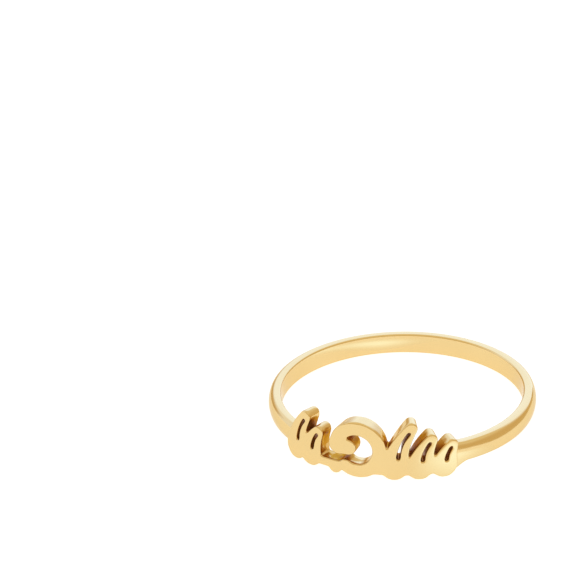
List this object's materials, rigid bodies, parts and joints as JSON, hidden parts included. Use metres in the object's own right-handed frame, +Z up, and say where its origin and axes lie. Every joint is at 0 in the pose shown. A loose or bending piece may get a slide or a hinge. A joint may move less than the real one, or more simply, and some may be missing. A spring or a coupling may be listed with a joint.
{
  "type": "name ring",
  "caption": "Slim gold finger ring lying on its side, with a D-section band and a pierced front plate of leaves and a scroll.",
  "frame": {"origin": "centre of the bottom of the bounding box, on the surface that the ring lies on", "axes": "+Z up from the surface, -Y towards the pierced plate, +X to the plate's right seen from outside"},
  "size_m": [0.019, 0.0194, 0.0045],
  "materials": {
    "gold": "polished yellow gold"
  },
  "bodies": {
    "root": {"ring": "gold"}
  },
  "joints": []
}
